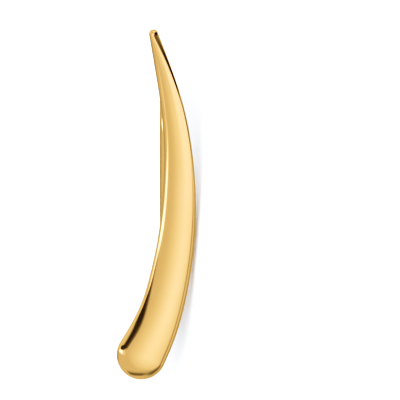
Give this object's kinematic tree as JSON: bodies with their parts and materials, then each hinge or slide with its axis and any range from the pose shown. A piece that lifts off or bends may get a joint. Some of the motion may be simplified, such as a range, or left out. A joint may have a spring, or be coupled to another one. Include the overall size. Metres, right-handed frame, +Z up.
{
  "type": "ear climber",
  "caption": "Bowed, tapered ear climber with a crowned face, a round foot and a bent ear wire soldered to its flat back.",
  "frame": {"origin": "on the surface that the piece lies on, below the middle of its bounding box", "axes": "+Y along the bar from foot to tip, +Z up from the surface, the face looks toward +X and up; the piece lies on the belly of the bar and on the bend of the wire"},
  "size_m": [0.0054, 0.025, 0.0048],
  "materials": {
    "polished_gold": "polished yellow gold"
  },
  "bodies": {
    "root": {"ear_climber": "polished_gold"}
  },
  "joints": []
}
